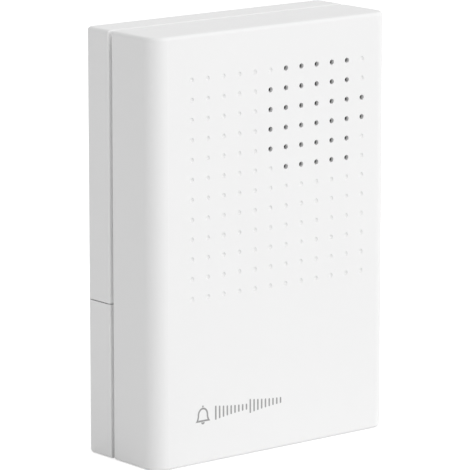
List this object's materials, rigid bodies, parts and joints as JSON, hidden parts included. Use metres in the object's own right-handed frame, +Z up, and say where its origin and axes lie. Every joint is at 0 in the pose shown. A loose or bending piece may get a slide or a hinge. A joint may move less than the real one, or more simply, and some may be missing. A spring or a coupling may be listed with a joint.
{
  "type": "doorbell chime box",
  "caption": "White moulded doorbell chime box with a grille of sound holes and dimples, a loudspeaker, a melody board and a pull-off battery door.",
  "frame": {"origin": "centre of the flat rear face that lies on the wall", "axes": "+X right seen from the front, +Y into the wall, +Z up"},
  "size_m": [0.085, 0.0315, 0.122],
  "materials": {
    "case_abs": "satin moulded white ABS",
    "zinc_steel": "zinc plated steel",
    "speaker_steel": "pressed steel",
    "contact_steel": "nickel plated spring steel",
    "ferrite": "sintered ferrite, dull grey black",
    "gasket_foam": "closed cell foam",
    "cone_paper": "pressed paper pulp",
    "surround_cloth": "coated cloth",
    "coil_copper": "enamelled copper wire",
    "phenolic": "phenolic board",
    "brass": "tinned brass",
    "board_glass": "green solder mask",
    "chip_black": "moulded epoxy",
    "tinned_leg": "tinned lead",
    "can_sleeve": "shrink sleeve on an aluminium can",
    "disc_ceramic": "dipped ceramic disc",
    "resistor_tan": "painted resistor body",
    "diode_black": "moulded epoxy",
    "terminal_green": "moulded nylon",
    "cell_jacket": "printed cell jacket",
    "wire_red": "PVC insulation",
    "wire_black": "PVC insulation"
  },
  "bodies": {
    "case": {"front_cover": "case_abs", "rear_case": "case_abs", "case_screws": "zinc_steel", "speaker_gasket": "gasket_foam", "speaker_basket": "speaker_steel", "speaker_surround": "surround_cloth", "speaker_top_plate": "speaker_steel", "speaker_magnet": "ferrite", "speaker_yoke": "speaker_steel", "speaker_tag_board": "phenolic", "speaker_lugs": "brass", "speaker_washers": "zinc_steel", "speaker_screws": "zinc_steel", "circuit_board": "board_glass", "board_screws": "zinc_steel", "melody_chip": "chip_black", "chip_legs": "tinned_leg", "electrolytic_capacitors": "can_sleeve", "ceramic_capacitors": "disc_ceramic", "resistors": "resistor_tan", "diode": "diode_black", "voltage_regulator": "chip_black", "driver_transistor": "chip_black", "terminal_block": "terminal_green", "terminal_screws": "zinc_steel", "terminal_clamps": "brass", "upper_cell": "cell_jacket", "lower_cell": "cell_jacket", "positive_contact": "contact_steel", "negative_contact": "contact_steel", "bridge_contact": "contact_steel", "contact_springs": "contact_steel", "battery_wire_red": "wire_red", "battery_wire_black": "wire_black", "speaker_wire_red": "wire_red", "speaker_wire_black": "wire_black"},
    "battery_door": {"battery_door": "case_abs"},
    "cone": {"speaker_cone": "cone_paper", "dust_cap": "cone_paper", "voice_coil": "coil_copper"}
  },
  "joints": [
    {"name": "battery_door_pull", "type": "slide", "parent": "case", "child": "battery_door", "axis": [0, 1, 0], "range_m": [0, 0.03]},
    {"name": "cone_travel", "type": "slide", "parent": "case", "child": "cone", "axis": [0, -1, 0], "range_m": [-0.0006, 0.0006], "stiffness_N_per_m": 1000}
  ]
}
